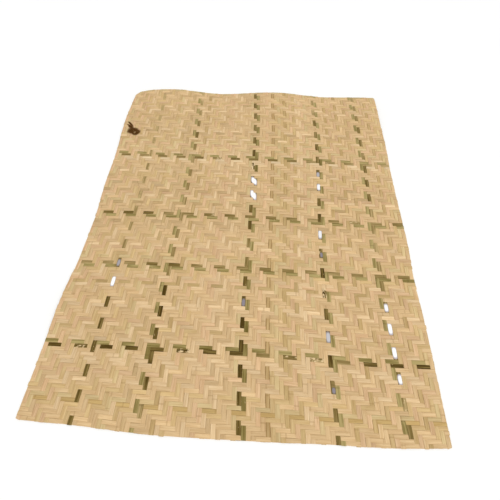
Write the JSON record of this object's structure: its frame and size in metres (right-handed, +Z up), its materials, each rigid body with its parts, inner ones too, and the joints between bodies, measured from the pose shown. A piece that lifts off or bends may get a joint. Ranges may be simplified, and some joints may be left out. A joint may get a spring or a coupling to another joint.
{
  "type": "plaited bamboo mat",
  "caption": "Rectangular floor mat of split-bamboo strips in a diagonal twill plait with a windowpane check of darker strips; it lies flat with its far edge gently lifted.",
  "frame": {"origin": "middle of the mat's outline, on the floor under it", "axes": "+X across the mat to the right, +Y along the mat to its far end, +Z up from the floor"},
  "size_m": [1.4364, 1.851, 0.0226],
  "materials": {
    "straw_bamboo": "satin, split bamboo"
  },
  "bodies": {
    "root": {"plaited_mat": "straw_bamboo"}
  },
  "joints": []
}
